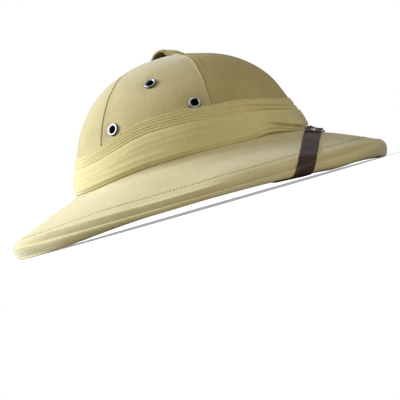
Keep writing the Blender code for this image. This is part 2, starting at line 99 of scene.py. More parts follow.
def fromFrontOf(angles):
    return np.abs((angles + 180.0) % 360.0 - 180.0)


def lookUp(pairs, at):
    return np.interp(at, *zip(*pairs))


def travelledAlong(line):
    steps = np.linalg.norm(np.diff(line, axis=0), axis=-1)
    return np.concatenate([np.zeros((1,) + steps.shape[1:]), np.cumsum(steps, axis=0)])


def profileCurve(corners, sharp):
    gaps = np.sqrt(np.linalg.norm(np.diff(corners, axis=0), axis=1))[:, None]
    slopes = np.diff(corners, axis=0) / gaps
    leaving, arriving = slopes * gaps, slopes * gaps
    for row in range(1, len(corners) - 1):
        if row in sharp:
            continue
        through = slopes[row - 1] * gaps[row] + slopes[row] * gaps[row - 1]
        through = through / (gaps[row - 1] + gaps[row])
        arriving[row - 1] = through * gaps[row - 1]
        leaving[row] = through * gaps[row]
    leaving[0, 1] = 0.0  # level over the crest
    return corners, leaving, arriving


def curvePoint(curve, rows):
    corners, leaving, arriving = curve
    start = np.clip(np.floor(rows).astype(int), 0, len(corners) - 2)
    share = (rows - start)[..., None]
    square, cube = share ** 2, share ** 3
    return (corners[start] * (2 * cube - 3 * square + 1) + leaving[start] * (cube - 2 * square + share)
            + corners[start + 1] * (3 * square - 2 * cube) + arriving[start] * (cube - square))


sharpRows = [rowOf[name] for name in hat["sharp"]]
profiles = {
    side: [profileCurve(table[:, columns], sharpRows),
           profileCurve(table[:, columns], sharpRows + [rowOf["edgeTip"]])]
    for side, columns in (("front", [0, 1]), ("rear", [2, 3]), ("side", [4, 5]))
}


def hatPoints(rows, angles):
    rows, angles = np.broadcast_arrays(np.asarray(rows, float), np.asarray(angles, float))
    sharp = ease(fromFrontOf(angles), *hat["edgeSharpens"])[..., None]
    front, rear, side = (
        curvePoint(profiles[name][0], rows) * (1 - sharp) + curvePoint(profiles[name][1], rows) * sharp
        for name in ("front", "rear", "side")
    )
    along, across = np.cos(np.radians(angles)), np.sin(np.radians(angles))
    fromTip = np.degrees(np.arccos(np.clip(np.abs(along), 0.0, 1.0)))
    ahead = along > 0
    start, end = (np.where(ahead, hat["frontRise"][limit], hat["rearRise"][limit]) for limit in (0, 1))
    tip = np.where(ahead, front[..., 1], rear[..., 1])
    height = tip + (side[..., 1] - tip) * ease(fromTip, start, end)
    middle, reach = (front[..., 0] + rear[..., 0]) / 2, (front[..., 0] - rear[..., 0]) / 2
    return np.stack([middle + reach * along, side[..., 0] * across, height], axis=-1)


def hatNormals(rows, angles, rowStep=0.02, turn=0.2):
    rows, angles = np.broadcast_arrays(np.asarray(rows, float), np.asarray(angles, float))
    above, below = np.maximum(rows - rowStep, np.floor(rows - 1e-9).clip(0)), rows + rowStep
    foot = rowOf["crownFoot"]  # crown and brim meet in a corner, and neither looks past it
    above = np.where(rows >= foot, np.maximum(above, foot), above)
    below = np.where(rows < foot, np.minimum(below, foot), np.minimum(below, len(table) - 1))
    down = hatPoints(below, angles) - hatPoints(above, angles)
    around = hatPoints(rows, angles + turn) - hatPoints(rows, angles - turn)
    normals = np.cross(down, around)
    return normals / np.linalg.norm(normals, axis=-1, keepdims=True).clip(1e-9)


def offHat(rows, angles, lift):
    return hatPoints(rows, angles) + hatNormals(rows, angles) * np.asarray(lift)[..., None]


def wobble(points, size, seed):
    flat = points.reshape(-1, 3) / size + seed
    return np.array([noise.noise(point) for point in flat]).reshape(points.shape[:-1])


# Mesh helpers

def layGrid(points, closedAcross=False, closedDown=False, clothSize=(1.0, 1.0)):
    rows, columns = points.shape[:2]
    bm = bmesh.new()
    cloth = bm.loops.layers.uv.new("cloth")
    bmesh.ops.create_grid(bm, x_segments=columns - 1, y_segments=rows - 1, size=1.0, calc_uvs=True)
    for vert in bm.verts:
        column = round((vert.co.x + 1.0) / 2.0 * (columns - 1))
        row = round((1.0 - vert.co.y) / 2.0 * (rows - 1))
        vert.co = points[row, column] * mm
    for face in bm.faces:
        for corner in face.loops:
            u, v = corner[cloth].uv
            corner[cloth].uv = (u * clothSize[0], v * clothSize[1])  # in metres
    if closedAcross or closedDown:
        weld(bm)
    return bm


def hubOf(ring):
    return np.broadcast_to(ring.mean(axis=0), (1,) + ring.shape)


def weld(bm):
    bmesh.ops.remove_doubles(bm, verts=bm.verts, dist=1e-7)


def facingOut(bm):
    bmesh.ops.recalc_face_normals(bm, faces=bm.faces)
    return bm


def moved(bm, matrix):
    bmesh.ops.transform(bm, matrix=matrix, verts=bm.verts)
    return bm


def turnOut(bm, outward):
    bm.normal_update()
    if sum(face.normal.dot(outward(face.calc_center_median())) for face in bm.faces) < 0:
        bmesh.ops.reverse_faces(bm, faces=bm.faces)


def meshFrom(bm, name):
    mesh = bpy.data.meshes.new(name)
    bm.to_mesh(mesh)
    bm.free()
    return mesh


def placed(name, data):
    item = bpy.data.objects.new(name, data)
    bpy.context.scene.collection.objects.link(item)
    return item


def smooth(mesh, angle=40.0):
    mesh.shade_smooth()
    mesh.set_sharp_from_angle(angle=math.radians(angle))


def addPiece(name, bm, material, nodes=(), angle=40.0):
    mesh = meshFrom(bm, name)
    piece = placed(name, mesh)
    mesh.materials.append(material)
    smooth(mesh, angle)
    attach(piece, "root")
    if nodes:
        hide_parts(*nodes)
    return piece


def finishedMesh(item):
    bpy.context.view_layer.update()
    return bpy.data.meshes.new_from_object(item.evaluated_get(bpy.context.evaluated_depsgraph_get()))


def applyModifiers(piece):
    mesh = finishedMesh(piece)
    piece.modifiers.clear()
    old, piece.data = piece.data, mesh
    name = old.name
    bpy.data.meshes.remove(old)
    mesh.name = name


def thicken(piece, thickness, offset=-1.0):
    modifier = piece.modifiers.new("thickness", "SOLIDIFY")
    modifier.thickness = thickness * mm
    modifier.offset = offset


def roundEdges(piece, width):
    modifier = piece.modifiers.new("edges", "BEVEL")
    modifier.width, modifier.segments = width * mm, 2
    modifier.limit_method, modifier.angle_limit = "ANGLE", math.radians(40.0)


def spinProfile(profile, sides, closed):
    bm = bmesh.new()
    verts = [bm.verts.new((radius * mm, 0.0, height * mm)) for radius, height in profile]
    edges = [bm.edges.new(pair) for pair in zip(verts, verts[1:])]
    if closed:
        edges.append(bm.edges.new((verts[-1], verts[0])))
    bmesh.ops.spin(bm, geom=verts + edges, cent=(0, 0, 0), axis=(0, 0, 1), angle=2 * math.pi,
                   steps=sides, use_merge=True)
    weld(bm)
    return facingOut(bm)


def axesAt(origin, xAxis, zAxis):
    zAxis, xAxis = Vector(zAxis).normalized(), Vector(xAxis)
    xAxis = (xAxis - zAxis * xAxis.dot(zAxis)).normalized()
    turn = Matrix((xAxis, zAxis.cross(xAxis), zAxis)).transposed().to_4x4()
    return Matrix.Translation(Vector(origin) * mm) @ turn


# Materials

def newMaterial(name, colour, roughness, metallic=0.0):
    material = bpy.data.materials.new(name)
    material.use_nodes = True
    shader = material.node_tree.nodes["Principled BSDF"]
    shader.inputs["Base Color"].default_value = (*colour, 1.0)
    shader.inputs["Roughness"].default_value = roughness
    shader.inputs["Metallic"].default_value = metallic
    return material, material.node_tree, shader


def feed(tree, socket, value):
    if isinstance(value, bpy.types.NodeSocket):
        tree.links.new(value, socket)
    else:
        socket.default_value = value


def addNode(tree, kind, **inputs):
    node = tree.nodes.new(kind)
    for name, value in inputs.items():
        feed(tree, node.inputs[name.replace("_", " ")], value)
    return node


def placeOf(tree):
    return addNode(tree, "ShaderNodeTexCoord").outputs["Object"]


def uvOf(tree, name):
    node = addNode(tree, "ShaderNodeUVMap")
    node.uv_map = name
    return node.outputs["UV"]


def stretched(tree, source, scale):
    return addNode(tree, "ShaderNodeMapping", Vector=source, Scale=scale).outputs["Vector"]


def noiseOf(tree, vector, scale, detail=3.0, roughness=0.55):
    node = addNode(tree, "ShaderNodeTexNoise", Vector=vector, Scale=scale, Detail=detail, Roughness=roughness)
    return node.outputs["Fac"]


def rangeOf(tree, value, start=(0.0, 1.0), end=(0.0, 1.0)):
    node = addNode(tree, "ShaderNodeMapRange", Value=value)
    for name, limit in zip(("From Min", "From Max", "To Min", "To Max"), start + end):
        node.inputs[name].default_value = limit
    return node.outputs["Result"]


def rampOf(tree, factor, stops):
    node = addNode(tree, "ShaderNodeValToRGB", Fac=factor)
    for element, (position, colour) in zip(node.color_ramp.elements, stops):
        element.position, element.color = position, (*colour, 1.0)
    return node.outputs["Color"]


def mixOf(tree, kind, factor, one, other):
    node = tree.nodes.new("ShaderNodeMix")
    node.data_type, node.blend_type = "RGBA", kind
    for socket, value in ((0, factor), (6, one), (7, other)):  # its factor and its two colours
        feed(tree, node.inputs[socket], value)
    return node.outputs[2]


def mathOf(tree, operation, *values):
    node = tree.nodes.new("ShaderNodeMath")
    node.operation = operation
    for socket, value in zip(node.inputs, values):
        feed(tree, socket, value)
    return node.outputs[0]


def finish(tree, shader, look, tone, height=None):
    tree.links.new(tone, shader.inputs["Base Color"])
    if height:
        bump = addNode(tree, "ShaderNodeBump", Height=height, Strength=look["relief"],
                       Distance=look["reliefDeep"])
        tree.links.new(bump.outputs["Normal"], shader.inputs["Normal"])


def clothMaterial(name, look):
    material, tree, shader = newMaterial(name, look["colour"], look["roughness"])
    uv, place = uvOf(tree, "cloth"), placeOf(tree)
    patches = rampOf(tree, noiseOf(tree, place, look["patchScale"], 4.0),
                     ((0.3, look["worn"]), (0.7, look["pale"])))
    colour = mixOf(tree, "MIX", look["patchShare"], (*look["colour"], 1.0), patches)
    fine, long = look["threads"]
    warp = noiseOf(tree, stretched(tree, uv, (fine, long, 1.0)), 1.0, 2.0)
    weft = noiseOf(tree, stretched(tree, uv, (long, fine, 1.0)), 1.0, 2.0)
    threads = mathOf(tree, "ADD", warp, weft)
    slubs = rampOf(tree, threads, ((0.7, look["thin"]), (1.0, look["thick"])))
    tone = mixOf(tree, "MULTIPLY", look["slubShare"], colour, slubs)
    twill = addNode(tree, "ShaderNodeTexWave", Vector=uv, Scale=look["twillScale"], Distortion=0.4)
    twill.wave_type, twill.bands_direction = "BANDS", "DIAGONAL"
    ribs = mathOf(tree, "MULTIPLY", twill.outputs["Fac"], look["twillShare"])
    finish(tree, shader, look, tone, mathOf(tree, "ADD", ribs, threads))
    shader.inputs["Sheen Weight"].default_value = look["sheen"]
    shader.inputs["Sheen Roughness"].default_value = 0.4
    shader.inputs["Specular IOR Level"].default_value = 0.2
    return material


crownLook = {
    "colour": (0.42, 0.343, 0.16), "worn": (0.365, 0.295, 0.133), "pale": (0.475, 0.395, 0.19),
    "roughness": 0.92, "sheen": 0.5,
    "patchScale": 22.0, "patchShare": 0.6,  # uneven tone
    "threads": (1400.0, 60.0),  # how fine a thread is across and along, for each metre
    "thin": (0.80, 0.80, 0.78), "thick": (1.12, 1.12, 1.1), "slubShare": 0.6,
    "twillScale": 260.0, "twillShare": 0.5, "relief": 0.35, "reliefDeep": 0.0004,
}
# The front panels take a darker copy of the crown's cloth, with less sheen: painted shade for the side of the
# crown that turns away from the light
shadedFrontLook = dict(crownLook, sheen=0.1,
                 colour=(0.37, 0.295, 0.125), worn=(0.325, 0.26, 0.107), pale=(0.42, 0.34, 0.15))
brimLook = dict(crownLook,
                colour=(0.51, 0.437, 0.229), worn=(0.46, 0.392, 0.20), pale=(0.56, 0.485, 0.263))
bandLook = dict(crownLook, sheen=0.4, twillScale=420.0, relief=0.25,
                colour=(0.545, 0.462, 0.215), worn=(0.495, 0.412, 0.185), pale=(0.595, 0.51, 0.25))
crownCloth = clothMaterial("crown_cotton_drill", crownLook)
shadedFrontCloth = clothMaterial("crown_cotton_drill_painted_shade", shadedFrontLook)
brimCloth = clothMaterial("brim_cotton_drill", brimLook)
bandCloth = clothMaterial("band_pleated_cotton", bandLook)


def unevenRoughness(tree, shader, look):
    smoother, rougher = look["roughnessSpread"]
    spread = (look["roughness"] - smoother, look["roughness"] + rougher)
    rough = rangeOf(tree, noiseOf(tree, placeOf(tree), look["roughnessScale"], 4.0), end=spread)
    tree.links.new(rough, shader.inputs["Roughness"])


def leatherMaterial(name, look):
    material, tree, shader = newMaterial(name, look["colour"], look["roughness"])
    place = placeOf(tree)
    tone = rampOf(tree, noiseOf(tree, place, look["toneScale"], 5.0),
                  ((0.35, look["colour"]), (0.75, look["worn"])))
    unevenRoughness(tree, shader, look)
    cells = addNode(tree, "ShaderNodeTexVoronoi", Vector=place, Scale=look["grainScale"])
    finish(tree, shader, look, tone, cells.outputs["Distance"])
    shader.inputs["Coat Weight"].default_value = 0.06
    shader.inputs["Coat Roughness"].default_value = 0.25
    shader.inputs["Specular IOR Level"].default_value = 0.22
    return material


leather = leatherMaterial("brown_strap_leather", {
    "colour": (0.032, 0.017, 0.014), "worn": (0.06, 0.032, 0.025), "toneScale": 90.0,
    "roughness": 0.38, "roughnessSpread": (0.08, 0.12), "roughnessScale": 60.0,
    "grainScale": 900.0, "relief": 0.25, "reliefDeep": 0.0002,
})


def metalMaterial(name, look, shadedEdge=False):
    material, tree, shader = newMaterial(name, look["colour"], look["roughness"], 1.0)
    unevenRoughness(tree, shader, look)
    tone = rampOf(tree, noiseOf(tree, placeOf(tree), look["toneScale"], 4.0),
                  ((0.3, look["dull"]), (0.6, look["colour"])))
    if shadedEdge:  # painted shade round the flange's edge and down the barrel, where the flange meets the cloth and the bore goes in
        across = addNode(tree, "ShaderNodeSeparateXYZ", Vector=uvOf(tree, "rim")).outputs["X"]
        tone = mixOf(tree, "MIX", rangeOf(tree, across, look["edge"]), tone, (*look["paintedShade"], 1.0))
    finish(tree, shader, look, tone)
    return material


nickelLook = {
    "colour": (0.60, 0.60, 0.60), "dull": (0.40, 0.40, 0.41), "toneScale": 350.0,
    "roughness": 0.26, "roughnessSpread": (0.06, 0.14), "roughnessScale": 700.0,
}
# The eyelets' dark edge colour is painted shade: it darkens the flange's outer edge and the bore
eyeletLook = dict(nickelLook, colour=(0.46, 0.455, 0.43), dull=(0.33, 0.325, 0.31), roughness=0.48,
                  paintedShade=(0.07, 0.08, 0.11), edge=(0.74, 0.92))  # share of the way out to its edge
nickel = metalMaterial("nickel_plate", nickelLook)
shadedEyeletNickel = metalMaterial("nickel_with_painted_shade", eyeletLook, shadedEdge=True)


def pithMaterial(name, look):
    material, tree, shader = newMaterial(name, look["colour"], look["roughness"])
    place = placeOf(tree)
    fibre = noiseOf(tree, stretched(tree, place, look["fibreStretch"]), look["fibreScale"], 6.0, 0.7)
    cork = addNode(tree, "ShaderNodeTexVoronoi", Vector=place, Scale=look["corkScale"])
    tone = rampOf(tree, fibre, ((0.3, look["dark"]), (0.7, look["colour"])))
    finish(tree, shader, look, tone, mathOf(tree, "ADD", fibre, cork.outputs["Distance"]))
    return material


pith = pithMaterial("pressed_pith", {
    "colour": (0.62, 0.53, 0.36), "dark": (0.46, 0.38, 0.24), "roughness": 0.95,
    "fibreStretch": (1.0, 1.0, 0.35), "fibreScale": 240.0, "corkScale": 160.0,
    "relief": 0.5, "reliefDeep": 0.0008,
})
print("materials made")


# Crown panels, in mm

vents = {
    "places": (("rear", -42.5, 89.5), ("top", -1.2, 120.0), ("front", 36.0, 91.5)),  # along X, height
    "sides": 32, "bore": 3.5, "barrel": 3.95, "flange": 5.8, "depth": 10.6, "proud": 1.3,
    "rollWide": 1.3, "rollHigh": 0.9,  # how the flange rolls over into the bore
    "dimple": 0.55, "dimpleWide": 8.0,  # the cloth is pressed in round each eyelet
    "puckers": 9, "puckerHigh": 0.12, "seatSpread": 5.0,
    "drillWider": 0.3, "drillLong": 28.0, "drillIn": 6.0,
}
gores = {
    "upperRows": 72, "lowerRows": 13, "middleColumns": 22,
    "seamSteps": (0.0, 0.3, 0.6, 0.9, 1.25, 1.7, 2.2, 2.8, 3.5, 4.3, 5.0, 5.6, 6.2, 6.9, 7.8, 9.0, 10.5),
    # folded edge of the side panels, the swell behind it, and the rows over which they flatten
    "beadHigh": 0.65, "beadAt": 0.45, "beadWide": 0.45, "beadFades": (4.5, 7.5),
    "swellHigh": 0.4, "swellWide": 5.0,
    # turning under the front panels: height, distance over which it ends, rows over which it fades
    "turningHigh": 0.5, "turningEnds": (5.4, 8.6), "turningFades": (3.5, 6.5),
    "grooveDeep": 0.55, "grooveWide": 0.7, "buttHigh": 0.25, "buttWide": 4.0,
    "raisedHigh": 0.6, "raisedWide": 8.0, "raisedGroove": 1.6,  # rear panels at their side seams
    "ripple": 0.35, "rippleSize": 38.0,
    "hub": 0.02,  # metres over the floor: the point that the panels face away from
}


def ventFrame(tree, x, z, side):
    inward = Vector((0, -side, 0))
    start = Vector((x, side * 200.0, z))
    centre = tree.ray_cast(start, inward)[0]
    normal = Vector()
    for right, up in ((0, 0), (1, 0), (-1, 0), (0, 1), (0, -1)):
        normal += tree.ray_cast(start + Vector((right, 0, up)) * vents["seatSpread"], inward)[1]
    normal.normalize()
    if normal.y * side < 0:
        normal.negate()
    return centre, normal


def formTree():
    rows = np.concatenate([np.linspace(0, 10, 101), np.linspace(10, 19, 121)[1:]])
    angles = np.linspace(0, 360, 241)
    points = hatPoints(rows[:, None], angles[None, :])
    bm = layGrid(np.concatenate([hubOf(points[0]), points]) / mm, closedAcross=True)
    tree = BVHTree.FromBMesh(bm)
    bm.free()
    return tree


form = formTree()  # in mm
ventFrames = {
    sideName + "_" + ventName: ventFrame(form, x, z, side)
    for sideName, side in (("left", 1), ("right", -1)) for ventName, x, z in vents["places"]
}


def seamLift(kind, distance, row):
    if kind == "overlapping":
        bead = gores["beadHigh"] * bell(distance - gores["beadAt"], gores["beadWide"])
        swell = gores["swellHigh"] * np.exp(-distance / gores["swellWide"])
        return (bead + swell) * (1 - 0.7 * ease(row, *gores["beadFades"]))
    if kind == "overlapped":
        turning = gores["turningHigh"] * (1 - ease(distance, *gores["turningEnds"]))
        return turning * (1 - ease(row, *gores["turningFades"]))
    groove = gores["grooveDeep"] * bell(distance, gores["grooveWide"])
    if kind == "raised":
        return gores["raisedHigh"] * bell(distance, gores["raisedWide"]) - gores["raisedGroove"] * groove
    return gores["buttHigh"] * bell(distance, gores["buttWide"]) - groove


def ventLift(points):
    lift = np.zeros(points.shape[:-1])
    for centre, normal in ventFrames.values():
        away = points - np.array(centre)
        distance = np.linalg.norm(away, axis=-1)
        upward = Vector((0, 0, 1)) - normal * normal.z
        sideward = normal.cross(upward).normalized()
        bearing = np.arctan2(away @ np.array(upward.normalized()), away @ np.array(sideward))
        near = 1 - smoothStep((distance - vents["flange"]) / vents["dimpleWide"])
        lift -= vents["dimple"] * near
        lift += vents["puckerHigh"] * near * np.cos(vents["puckers"] * bearing)
    return lift


def gorePoints(startOf, endOf, kinds):
    rows = np.concatenate([np.linspace(0, 8, gores["upperRows"]),
                           np.linspace(8, 10, gores["lowerRows"])[1:]])
    steps = np.array(gores["seamSteps"])
    points = []
    for row in rows:
        start, end = (np.interp(row, np.arange(len(seam)), seam) for seam in (startOf, endOf))
        fine = np.linspace(start, end, 65)
        travelled = travelledAlong(hatPoints(row, fine))
        length = travelled[-1]
        reach = min(steps[-1], 0.3 * length) / steps[-1]  # steps beside the seams close up at the crest
        trim = min(hat["gap"] / 2, 0.1 * length)
        middle = np.linspace(steps[-1] * reach, length - steps[-1] * reach, gores["middleColumns"])[1:-1]
        places = np.concatenate([trim + steps * reach, middle, (length - trim) - steps[::-1] * reach])
        places = np.clip(places, trim, length - trim)
        angles = np.interp(places, travelled, fine)
        flat = hatPoints(row, angles)
        lift = ventLift(flat) + gores["ripple"] * wobble(flat, gores["rippleSize"], 3.0)
        for kind, distance in zip(kinds, (places, length - places)):
            lift += seamLift(kind, distance / max(reach, 0.2), row) * reach
        points.append(offHat(row, angles, lift))
    points[-1] = points[-1] + np.array([0, 0, hat["gap"]])
    return np.array(points)


frontSeam, rearSeam = np.array(hat["frontSeam"]), np.array(hat["rearSeam"])
frontMiddle, rearMiddle = np.zeros(len(frontSeam)), np.full(len(rearSeam), 180.0)
panels = (
    ("front_left", frontMiddle, frontSeam, ("butted", "overlapped")),
    ("side_left", frontSeam, rearSeam, ("overlapping", "butted")),
    ("rear_left", rearSeam, rearMiddle, ("raised", "butted")),
    ("rear_right", rearMiddle, 360 - rearSeam, ("butted", "raised")),
    ("side_right", 360 - rearSeam, 360 - frontSeam, ("butted", "overlapping")),
    ("front_right", 360 - frontSeam, frontMiddle + 360, ("overlapped", "butted")),
)


def cutVents(piece, sideName):
    radius = (vents["barrel"] + vents["drillWider"]) * mm
    cutters = []
    for name, (centre, normal) in ventFrames.items():
        if not name.startswith(sideName):
            continue
        bm = bmesh.new()
        bmesh.ops.create_cone(bm, cap_ends=True, segments=vents["sides"], radius1=radius, radius2=radius,
                              depth=vents["drillLong"] * mm)
        place = axesAt(centre - normal * vents["drillIn"], (1, 0, 0), normal)
        cutters.append(placed("cutter", meshFrom(moved(bm, place), "cutter")))
        modifier = piece.modifiers.new("vent", "BOOLEAN")
        modifier.operation, modifier.solver, modifier.object = "DIFFERENCE", "EXACT", cutters[-1]
    applyModifiers(piece)
    smooth(piece.data)
    for cutter in cutters:
        mesh = cutter.data
        bpy.data.objects.remove(cutter)
        bpy.data.meshes.remove(mesh)


for name, startOf, endOf, kinds in panels:
    points = gorePoints(startOf, endOf, kinds)
    bm = layGrid(points, clothSize=(0.17 if "side" in name else 0.13, 0.19))
    turnOut(bm, lambda centre: Vector((centre.x, centre.y, centre.z - gores["hub"])))
    # the front panels get the darker copy of the cloth, which is painted shade
    cloth = shadedFrontCloth if name.startswith("front") else crownCloth
    clothArea = sum(face.calc_area() for face in bm.faces)
    gore = addPiece("gore_" + name, bm, cloth, ["crown_gore_" + name])
    thicken(gore, hat["cloth"])
    if name.startswith("side"):
        cutVents(gore, name.split("_")[1])
print("crown panels made")


# Brim cover: lengths in mm, places down the section in rows, and places round it in degrees from
# the front

brim = {
    "cut": (0.135, 1.04), "cutArea": 0.126,  # flat strip in metres, and its area without the notches
    "topRows": (9.93, 9.965, 10.0),  # its upper edge, under the band
    "rowCounts": (18, 26, 8, 8, 12, 5, 4, 12, 14),  # rows between one section and the next
    "columns": 300,
    "stitchRow": ((0, 11.72), (40, 11.71), (52, 11.82), (68, 11.82), (86, 11.69), (90, 11.68),
                  (115, 11.74), (140, 12.0), (180, 12.0)),
    "stitchGroove": 0.14, "grooveWide": 0.035, "grooveStarts": (22.0, 48.0),
    "ripple": 0.6, "rippleSize": 46.0, "rippleRows": ((10.0, 10.6), (12.5, 13.5)),
    "upstand": 0.45, "upstandRows": (10.0, 10.15),  # where it turns up against the crown
    # steeper strip next to the crown, which is shallower at the rear
    "footDrop": 1.4, "footRow": 10.32, "footEnds": 11.6, "footFades": (100.0, 150.0), "footLess": 0.45,
    # rim: row, width in rows and height of its lip, crease, lower roll and drawn-in wall, then from
    # where to where each fades out, or in where the second is less; the last undoes the wall's behind
    "rim": ((12.72, 0.36, 2.0, 125, 168), (13.70, 0.36, -2.5, 125, 168), (14.72, 0.45, 2.3, 88, 126),
            (15.0, 0.8, -2.2, 144, 124), (15.0, 0.8, 2.2, 174, 154)),
    "rimAtFront": 0.15, "rimStarts": (8.0, 34.0),
    # soft bulge under the stitching ahead of the side, where the brim starts to turn down: its height,
    # where it comes and goes down the section and round the brim, and the lip's share that it swallows
    "bulge": 2.8, "bulgeRows": ((10.9, 11.75), (11.8, 13.1)), "bulgeAround": ((40, 51), (68, 86)),
    "bulgeLip": 0.75,
    # degrees, then how far the rim's underside is drawn up on the right and on the left
    "tucked": ((0, 0.0, 0.0), (6, 0.2, 0.2), (12, 1.3, 1.3), (20, 2.3, 2.3), (28, 2.6, 2.6),
               (38, 1.0, 2.6), (47, 1.8, 2.4), (60, 2.2, 2.2), (80, 2.2, 2.2), (97, 1.0, 2.4),
               (107, 0.4, 2.6), (117, -0.3, 2.8), (127, -0.2, 2.6), (136, 0.2, 2.0), (146, 0.2, 1.2),
               (160, 0.0, 0.0), (180, 0.0, 0.0)),
    "tuckRows": ((14.1, 15.4), (17.3, 18.8)),  # rows over which that starts and ends
    "lipRow": 13.0, "bridge": 1.7,  # rows before lipRow are the lip, wider under the strap
    "hub": 0.012,  # metres over the floor: faces above it look up, and those below it down
}


def brimForm(rows, angles, bridged=False):
    fromFront = fromFrontOf(angles)
    foot, ends = brim["footRow"], brim["footEnds"]
    starting, ending = (rows - 10.0) / (foot - 10.0), (rows - foot) / (ends - foot)
    drop = np.clip(starting, 0, 1) * (1 - np.clip(ending, 0, 1)) ** 2
    lift = -brim["footDrop"] * drop * (1 - brim["footLess"] * ease(fromFront, *brim["footFades"]))
    bulging = window(fromFront, *brim["bulgeAround"])
    lift = lift + brim["bulge"] * bulging * window(rows, *brim["bulgeRows"])
    atFront = brim["rimAtFront"] + (1 - brim["rimAtFront"]) * ease(fromFront, *brim["rimStarts"])
    for row, wide, high, fadesFrom, fadesTo in brim["rim"]:
        lip = row < brim["lipRow"]
        share = atFront * (1 - ease(fromFront, fadesFrom, fadesTo)) * (1 - brim["bulgeLip"] * bulging * lip)
        if high > 0 or not bridged:
            lift = lift + high * share * bell(rows - row, wide * (brim["bridge"] if bridged and lip else 1.0))
    return lift


def brimTuck(rows, angles):
    degrees, *sides = zip(*brim["tucked"])
    right, left = (np.interp(fromFrontOf(angles), degrees, side) for side in sides)
    return np.where(np.sin(np.radians(angles)) < 0, right, left) * window(rows, *brim["tuckRows"])


def brimLift(rows, angles):
    fromFront = fromFrontOf(angles)
    ripple = brim["ripple"] * wobble(hatPoints(rows, angles), brim["rippleSize"], 11.0)
    lift = ripple * window(rows, *brim["rippleRows"])
    lift = lift + brim["upstand"] * (1 - ease(rows, *brim["upstandRows"]))
    pulled = 0.3 + 0.7 * ease(fromFront, *brim["grooveStarts"])
    line = lookUp(brim["stitchRow"], fromFront)
    return lift - brim["stitchGroove"] * pulled * bell(rows - line, brim["grooveWide"])


brimRows = [np.array(brim["topRows"])]
for number, count in enumerate(brim["rowCounts"]):
    brimRows.append(np.linspace(10 + number, 11 + number, count + 1)[1:])
brimRows = np.concatenate(brimRows)[:, None]
brimAngles = np.linspace(0, 360, brim["columns"] + 1)[None, :]


def brimSurface(bridged):
    lift = brimLift(brimRows, brimAngles) + brimForm(brimRows, brimAngles, bridged)
    points = offHat(brimRows, brimAngles, lift)
    points[..., 2] += brimTuck(brimRows, brimAngles)
    bm = layGrid(points, closedAcross=True, clothSize=(0.86, 0.19))
    turnOut(bm, lambda centre: Vector((0, 0, centre.z - brim["hub"])))
    return bm


bm = brimSurface(True)  # the strap lies on this one, taut over the rim's crease
brimTree = BVHTree.FromPolygons([vert.co / mm for vert in bm.verts],
                                [[vert.index for vert in face.verts] for face in bm.faces])
bm.free()
cover = addPiece("brim_cloth_cover", brimSurface(False), brimCloth, ["brim_cover"])
thicken(cover, hat["cloth"])
print("brim cover made")


# Pith body

pithBody = {"columns": 180, "crownRows": 50, "brimRows": 90, "liningRows": 60}


def makePith():
    outside = hat["cloth"] + hat["gap"]
    inside = outside + hat["pithWall"]
    angles = np.linspace(0, 360, pithBody["columns"] + 1)[None, :]
    crownPart = np.linspace(0, 10, pithBody["crownRows"])[:, None]
    brimPart = np.linspace(10, 19, pithBody["brimRows"])[1:, None]
    lining = np.linspace(9.0, 0, pithBody["liningRows"])[:, None]
    rings = [offHat(crownPart, angles, -outside),
             offHat(brimPart, angles, brimForm(brimPart, angles) - outside),
             offHat(lining, angles, -inside)]
    rings[1][..., 2] += brimTuck(brimPart, angles)
    points = np.concatenate(rings)
    points = np.concatenate([hubOf(points[0]), points, hubOf(points[-1])])
    bm = layGrid(points, closedAcross=True, closedDown=True)
    bmesh.ops.dissolve_degenerate(bm, dist=1e-8, edges=bm.edges)
    return facingOut(bm)


shell = addPiece("pith_body", makePith(), pith, ["pith_shell"])
cutVents(shell, "")
print("pith body made")


# Wrapped band: lengths in mm, places round it in degrees from the front

band = {
    "cut": (0.045, 0.62), "cutArea": 0.0236,  # the part that shows, laid flat, in metres
    "columns": 360, "upperRows": 150, "backRows": 10, "crowding": 1.25,  # finer rows among the folds
    # depth of each fold's edge below the band's top, at the front, the side and the rear, and how
    # far that fold stands over the one above it
    "folds": (
        (3.3, 3.0, 2.4, 0.50), (8.6, 6.0, 4.8, 0.50), (9.8, 8.8, 7.2, 0.30),
        (14.0, 11.2, 9.8, 0.60), (14.6, 14.2, 12.6, 0.45),
    ),
    "foldShare": ((0, 0.5), (10, 0.8), (20, 2.1), (38, 2.1), (50, 0.9), (66, 0.4), (80, 1.15), (130, 1.15),
                  (180, 0.6)),
    "foldLip": 0.45, "droop": 0.65, "wander": 0.7,
    "creaseDeep": 0.5, "creaseWide": 0.5, "creaseAbove": 0.7,
    # how far its top reaches over the crown's section row, and that row's distance from the next
    "topRise": ((0, 0.0), (15, 0.4), (36, 2.2), (49, 2.8), (57, 2.0), (61, 1.2), (70, 1.4), (76, 2.4),
                (98, 2.8), (112, 1.2), (125, 0.0), (180, 0.0)),
    "rowHigh": 13.5, "topProud": 1.4, "leastProud": 0.5, "backProud": 0.3,
    "belly": 0.45, "rippleHigh": 0.4, "rippleWide": 1.8,
    "hem": 3.2, "hemGap": 0.3,
    "hemLift": 2.6, "hemLiftAt": 38.0, "hemLiftWide": 10.0,  # the hem is drawn up beside the strap
    "hemFront": 2.2, "hemFrontWide": 8.0, "hemTight": 3.5,  # and up and tight behind the buckle
    # creases drawn to the strap and a soft swell between them: arc, height over the hem at the front
    # and at the far end, width and depth
    "gathers": ((48.0, -0.8, 7.6, 1.6, 3.8), (54.0, -1.5, 3.9, 1.2, 2.2), (36.0, 0.4, 5.0, 2.2, -0.8)),
}


def bandNoise(angle, size, x, y, z):
    turn = math.radians(angle)
    return noise.noise(Vector((math.cos(turn), math.sin(turn), 0.0)) * size + Vector((x, y, z)))


def bandDepths(angles):
    tops = 8.0 - lookUp(band["topRise"], fromFrontOf(angles)) / band["rowHigh"]
    rows = tops + (10.0 - tops) * np.linspace(0, 1, 81)[:, None]
    return rows, travelledAlong(hatPoints(rows, angles[None, :]))


